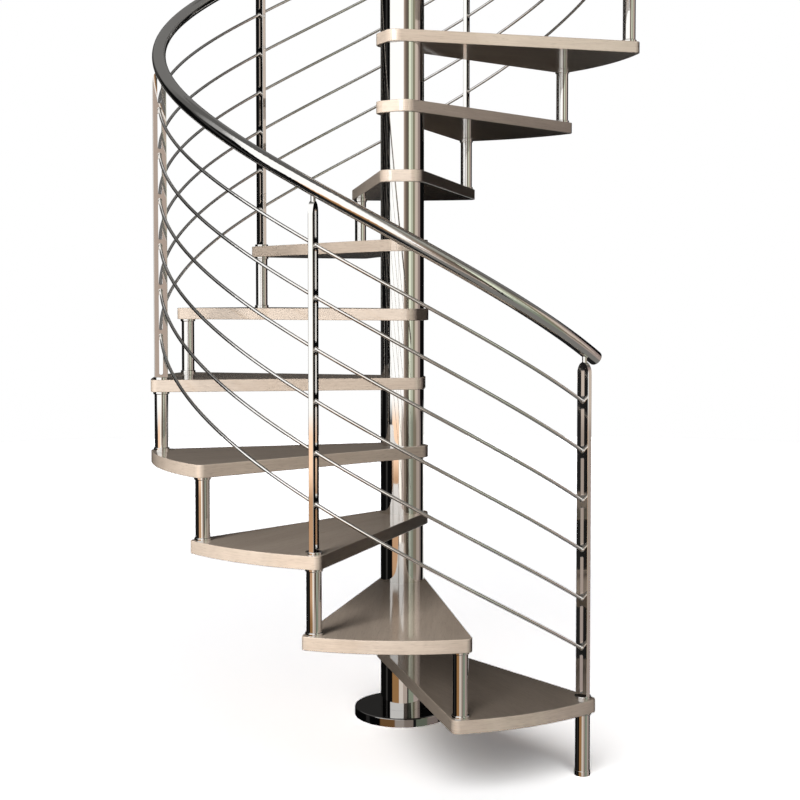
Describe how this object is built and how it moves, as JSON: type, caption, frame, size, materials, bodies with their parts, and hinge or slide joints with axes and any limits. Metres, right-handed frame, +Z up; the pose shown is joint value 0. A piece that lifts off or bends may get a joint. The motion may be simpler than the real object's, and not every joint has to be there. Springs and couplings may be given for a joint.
{
  "type": "spiral staircase",
  "caption": "Spiral staircase of wedge wooden treads stacked on a polished steel column, with tubular risers, slotted posts, helical rods and a round handrail on the outer side.",
  "frame": {"origin": "on the floor, on the axis of the central column", "axes": "+Z up along the column; -Y is the side the picture shows; the stair climbs clockwise seen from above"},
  "size_m": [1.6, 1.6, 3.8949],
  "materials": {
    "wood": "bleached, satin lacquered",
    "column_steel": "stainless steel polished to a mirror",
    "riser_steel": "stainless steel polished to a mirror",
    "post_steel": "stainless steel polished to a mirror",
    "rail_steel": "stainless steel polished to a mirror",
    "rod_steel": "stainless steel polished to a mirror",
    "base_steel": "stainless steel polished to a mirror",
    "plate_steel": "plain structural steel, hidden"
  },
  "bodies": {
    "root": {"base_plate": "plate_steel", "base_cover": "base_steel", "centre_pole": "plate_steel", "column_sleeves": "column_steel", "column_cap": "column_steel", "tread_01": "wood", "tread_02": "wood", "tread_03": "wood", "tread_04": "wood", "tread_05": "wood", "tread_06": "wood", "tread_07": "wood", "tread_08": "wood", "tread_09": "wood", "tread_10": "wood", "tread_11": "wood", "tread_12": "wood", "tread_13": "wood", "riser_tubes": "riser_steel", "riser_rings": "riser_steel", "foot_tube": "riser_steel", "foot_pad": "riser_steel", "post_1": "post_steel", "post_2": "post_steel", "post_3": "post_steel", "post_4": "post_steel", "post_5": "post_steel", "post_6": "post_steel", "post_7": "post_steel", "post_feet": "post_steel", "rail_pins": "post_steel", "handrail_1": "rail_steel", "handrail_2": "rail_steel", "handrail_3": "rail_steel", "handrail_4": "rail_steel", "handrail_5": "rail_steel", "handrail_6": "rail_steel", "rail_end_caps": "rail_steel", "rods_1": "rod_steel", "rods_2": "rod_steel", "rods_3": "rod_steel", "rods_4": "rod_steel", "rods_5": "rod_steel", "rods_6": "rod_steel", "rod_ferrules": "rod_steel"}
  },
  "joints": []
}
